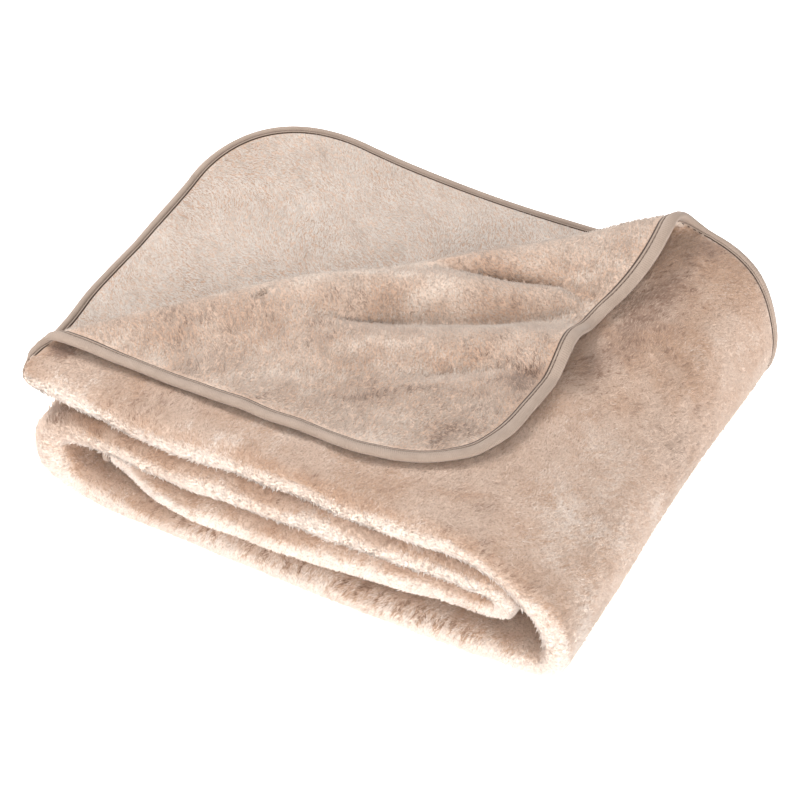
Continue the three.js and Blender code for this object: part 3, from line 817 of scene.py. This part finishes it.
def noiseNode(tree, scale, detail=2.0, roughness=0.5, distortion=0.0):
    place, node = tree.nodes.new("ShaderNodeTexCoord"), tree.nodes.new("ShaderNodeTexNoise")
    put(tree, place.outputs["Object"], node.inputs["Vector"])
    put(tree, scale, node.inputs["Scale"])
    put(tree, detail, node.inputs["Detail"])
    put(tree, roughness, node.inputs["Roughness"])
    put(tree, distortion, node.inputs["Distortion"])
    return node.outputs["Fac"]


def rangeNode(tree, value, source=(0.0, 1.0), target=(0.0, 1.0), kind="LINEAR"):
    node = tree.nodes.new("ShaderNodeMapRange")
    node.interpolation_type = kind
    put(tree, value, node.inputs["Value"])
    for title, span in (("From", source), ("To", target)):
        put(tree, span[0], node.inputs[title + " Min"])
        put(tree, span[1], node.inputs[title + " Max"])
    return node.outputs["Result"]


def mathNode(tree, kind, *values):
    node = tree.nodes.new("ShaderNodeMath")
    node.operation = kind
    for k, value in enumerate(values):
        put(tree, value, node.inputs[k])
    return node.outputs["Value"]


def mixNode(tree, share, first, second):
    node = tree.nodes.new("ShaderNodeMix")
    node.data_type = "RGBA"
    put(tree, share, node.inputs["Factor"])
    put(tree, first, node.inputs["A"])
    put(tree, second, node.inputs["B"])
    return node.outputs["Result"]


def bumpNode(tree, height, strength, distance):
    node = tree.nodes.new("ShaderNodeBump")
    put(tree, strength, node.inputs["Strength"])
    put(tree, distance, node.inputs["Distance"])
    put(tree, height, node.inputs["Height"])
    return node.outputs["Normal"]


def newMaterial(name, settings):
    material = bpy.data.materials.new(name)
    material.use_nodes = True
    shader = material.node_tree.nodes["Principled BSDF"]
    for key, value in settings.items():
        shader.inputs[key].default_value = value
    return material, material.node_tree, shader


brushed = {  # ranges of the two noises, and how dark the roots are and the places of darker tone or painted shade
    "patchDetail": 4.0, "patchRoughness": 0.55, "patchDistortion": 0.6, "patchRange": (0.36, 0.66),
    "grainRange": (0.36, 0.56), "grainDark": (0.5, 0.0), "rootDark": (0.4, 0.0), "darkToneAndShade": -0.8,
    "roughness": (0.82, 0.97),
}


def makeFleeceGroup():  # the mottled colour of brushed pile, from its roots to its tips, paler with painted highlights and darker with painted shade
    group = bpy.data.node_groups.new("brushedPile", "ShaderNodeTree")
    for name, kind, value in (
        ("Root", "NodeSocketColor", (0.3, 0.2, 0.15, 1)),
        ("Body", "NodeSocketColor", (0.6, 0.42, 0.33, 1)),
        ("Glow", "NodeSocketColor", (0.8, 0.66, 0.56, 1)),
        ("Tip", "NodeSocketFloat", 1.0),
        ("NapAndLight", "NodeSocketFloat", 0.0),
        ("Patches per metre", "NodeSocketFloat", 22.0),
        ("Patch amount", "NodeSocketFloat", 0.7),
        ("Grains per metre", "NodeSocketFloat", 620.0),
    ):
        socket = group.interface.new_socket(name, in_out="INPUT", socket_type=kind)
        socket.default_value = value
    for name, kind in (
        ("Color", "NodeSocketColor"),
        ("Roughness", "NodeSocketFloat"),
        ("Height", "NodeSocketFloat"),
    ):
        group.interface.new_socket(name, in_out="OUTPUT", socket_type=kind)
    given = group.nodes.new("NodeGroupInput").outputs
    made = group.nodes.new("NodeGroupOutput").inputs
    patches = noiseNode(
        group, given["Patches per metre"],
        brushed["patchDetail"], brushed["patchRoughness"], brushed["patchDistortion"],
    )
    grain = noiseNode(group, given["Grains per metre"])
    patches = rangeNode(group, patches, brushed["patchRange"], kind="SMOOTHSTEP")
    patches = mathNode(group, "MULTIPLY", patches, given["Patch amount"])
    # pale patches and painted highlights draw the colour to the glow
    pale = mathNode(group, "MAXIMUM", patches, given["NapAndLight"])
    lit = mixNode(group, pale, given["Body"], given["Glow"])
    fine = rangeNode(group, grain, brushed["grainRange"], brushed["grainDark"])
    deep = rangeNode(group, given["Tip"], target=brushed["rootDark"])
    # darker tone and painted shade draw the colour to the roots
    flat = mathNode(group, "MULTIPLY", given["NapAndLight"], brushed["darkToneAndShade"])
    dark = mathNode(group, "MAXIMUM", mathNode(group, "MAXIMUM", fine, deep), flat)
    put(group, mixNode(group, dark, lit, given["Root"]), made["Color"])
    put(group, rangeNode(group, grain, target=brushed["roughness"]), made["Roughness"])
    put(group, grain, made["Height"])
    return group


fleeceGroup = makeFleeceGroup()
softShader = {
    "Specular IOR Level": 0.12, "Sheen Weight": 1.0, "Sheen Roughness": 0.62,
    "Sheen Tint": toLinear(255, 240, 228),
}
fleeceColours = {  # roots, body, and tips where they catch the light; patches per metre and amount
    "outerFleece": ((122, 88, 68), (198, 160, 132), (251, 239, 229), 26, 0.3),
    "turnedFleece": ((104, 79, 64), (180, 158, 142), (234, 220, 207), 24, 0.32),
    # the same side of the cloth as the turned corner, paler: painted sheen of its nap, brushed another way
    "panelFleece": ((152, 134, 121), (209, 199, 190), (238, 231, 224), 30, 0.4),
    "fleeceGround": ((118, 87, 69), (187, 154, 131), (240, 223, 208), 26, 0.3),
}
ground = {"tip": 0.7, "bump": 0.6, "deep": 0.0012}  # the cloth under the pile


def fleece(name, isPile=True):
    root, body, glow, patches, amount = fleeceColours[name]
    material, tree, shader = newMaterial(name, softShader)
    group = tree.nodes.new("ShaderNodeGroup")
    group.node_tree = fleeceGroup
    for key, colour in (("Root", root), ("Body", body), ("Glow", glow)):
        put(tree, toLinear(*colour), group.inputs[key])
    put(tree, patches, group.inputs["Patches per metre"])
    put(tree, amount, group.inputs["Patch amount"])
    # the nap's patches with the painted highlights and shade, from -1 to 1
    put(tree, attributeNode(tree, "napAndLight"), group.inputs["NapAndLight"])
    put(tree, attributeNode(tree, "tip") if isPile else ground["tip"], group.inputs["Tip"])
    put(tree, group.outputs["Color"], shader.inputs["Base Color"])
    put(tree, group.outputs["Roughness"], shader.inputs["Roughness"])
    if not isPile:
        bump = bumpNode(tree, group.outputs["Height"], ground["bump"], ground["deep"])
        put(tree, bump, shader.inputs["Normal"])
    return material


knit = {
    "shader": {"Roughness": 0.7, "Specular IOR Level": 0.25, "Sheen Weight": 0.2},
    # groove: painted shade in the grooves beside the stitching, with the dark seam line
    "colours": ((150, 131, 117), (172, 153, 139)), "groove": (72, 56, 46),
    "scale": 90, "detail": 5, "ribBump": 0.35, "ribHigh": 0.0003,
}
sewing = {
    "shader": {"Roughness": 0.75}, "colours": ((84, 66, 54), (118, 98, 84)), "scale": 300,
}


def knitTape():
    material, tree, shader = newMaterial("ribbedTape", knit["shader"])
    low, high = (toLinear(*colour) for colour in knit["colours"])
    tone = mixNode(tree, noiseNode(tree, knit["scale"], knit["detail"]), low, high)
    # painted shade in the grooves, with the dark seam line
    groove = mixNode(tree, attributeNode(tree, "groove"), tone, toLinear(*knit["groove"]))
    put(tree, groove, shader.inputs["Base Color"])
    turns = mathNode(tree, "MULTIPLY", attributeNode(tree, "ribs"), 2 * math.pi)
    ribs = mathNode(tree, "SINE", turns)
    put(tree, bumpNode(tree, ribs, knit["ribBump"], knit["ribHigh"]), shader.inputs["Normal"])
    return material


def thread():
    material, tree, shader = newMaterial("darkThread", sewing["shader"])
    low, high = (toLinear(*colour) for colour in sewing["colours"])
    tone = mixNode(tree, noiseNode(tree, sewing["scale"]), low, high)
    put(tree, tone, shader.inputs["Base Color"])
    return material


outerFleece, cornerFleece, panelFleece = map(fleece, ("outerFleece", "turnedFleece", "panelFleece"))
ownFinish = {"pile_turned_corner": cornerFleece, "pile_back_panel": panelFleece}
for name, pieces in pilePieces.items():
    for piece in pieces:
        piece.data.materials.append(ownFinish.get(name, outerFleece))
blanket.data.materials.append(fleece("fleeceGround", isPile=False))
edgeTape.data.materials.append(knitTape())
stitches.data.materials.append(thread())
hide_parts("blanket")
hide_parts("binding")
print("materials done")

# The floor, the light and the camera
stage = {
    "half": 6,
    "shader": {
        "Base Color": (0.96, 0.96, 0.96, 1), "Emission Color": (1, 1, 1, 1),
        "Emission Strength": 0.85, "Roughness": 0.9, "Specular IOR Level": 0.1,
    },
}
light = {
    "world": 0.5, "aim": (0, 0, 0.05),
    "lamps": {
        "key": {"at": (-1.5, 0.5, 1.8), "size": 0.9, "power": 53},
        "front": {"at": (0.1, -2.3, 0.75), "size": 1.5, "power": 36},
        "side": {"at": (2.2, -0.9, 0.7), "size": 1.4, "power": 32},
    },
}


def makeStage():
    half = stage["half"]
    mesh = bpy.data.meshes.new("floor")
    corners = [(-half, -half, 0), (half, -half, 0), (half, half, 0), (-half, half, 0)]
    mesh.from_pydata(corners, [], [(0, 1, 2, 3)])
    mesh.materials.append(newMaterial("paleFloor", stage["shader"])[0])
    floor = bpy.data.objects.new("floor", mesh)
    bpy.context.scene.collection.objects.link(floor)


def makeLight():
    world = bpy.data.worlds.new("softStudio")
    bpy.context.scene.world = world
    world.use_nodes = True
    background = world.node_tree.nodes["Background"]
    background.inputs["Color"].default_value = (1, 1, 1, 1)
    background.inputs["Strength"].default_value = light["world"]
    for name, plan in light["lamps"].items():
        lamp = bpy.data.lights.new(name, "AREA")
        lamp.size = plan["size"]
        lamp.energy = plan["power"]
        holder = bpy.data.objects.new(name, lamp)
        holder.location = plan["at"]
        ahead = Vector(light["aim"]) - holder.location
        holder.rotation_euler = ahead.to_track_quat("-Z", "Y").to_euler()
        bpy.context.scene.collection.objects.link(holder)


def makeCamera():
    place, ahead = cameraPlace()
    lens = bpy.data.cameras.new("camera")
    lens.lens = camera["lens"]
    lens.sensor_width = camera["sensor"]
    lens.sensor_fit = "HORIZONTAL"
    holder = bpy.data.objects.new("camera", lens)
    holder.location = place
    holder.rotation_euler = ahead.to_track_quat("-Z", "Y").to_euler()
    bpy.context.scene.collection.objects.link(holder)
    bpy.context.scene.camera = holder


makeStage()
makeLight()
makeCamera()
bpy.context.scene.view_settings.view_transform = "Standard"
print("stage done")
